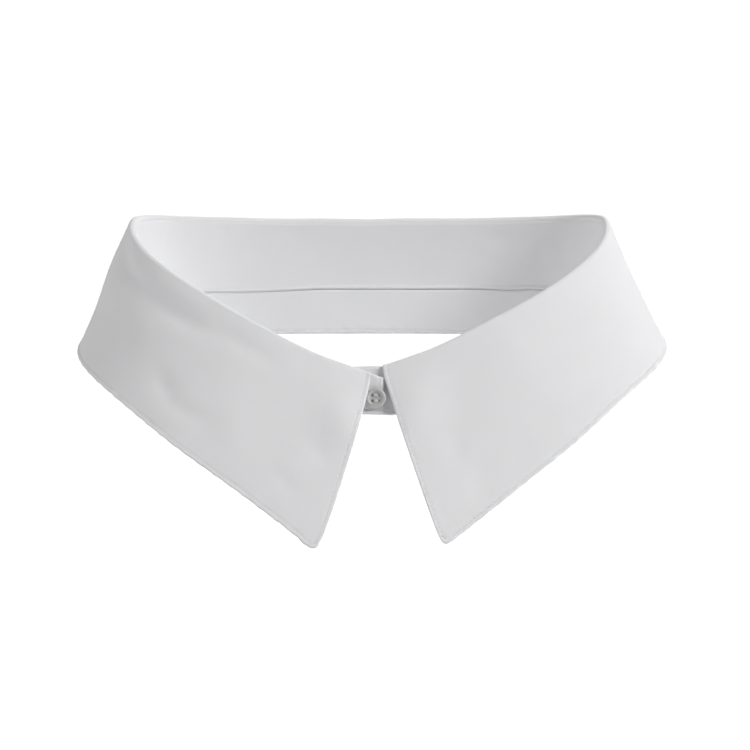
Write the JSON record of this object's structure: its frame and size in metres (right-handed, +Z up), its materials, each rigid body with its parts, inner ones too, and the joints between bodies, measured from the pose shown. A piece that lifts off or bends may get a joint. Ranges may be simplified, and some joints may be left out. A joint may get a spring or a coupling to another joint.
{
  "type": "detachable shirt collar",
  "caption": "Detachable white shirt collar, buttoned at the front and filled out as when worn: a band under a turned-down fall that ends in long points.",
  "frame": {"origin": "on the neck's axis, level with the stand's lower edge at the centre back", "axes": "+X to the wearer's left, +Y to the wearer's back, +Z up the neck"},
  "size_m": [0.196, 0.1267, 0.1012],
  "materials": {
    "cotton": "matte white poplin",
    "button": "satin off-white"
  },
  "bodies": {
    "root": {"collar_leaf": "cotton", "collar_stand": "cotton", "button": "button"}
  },
  "joints": []
}
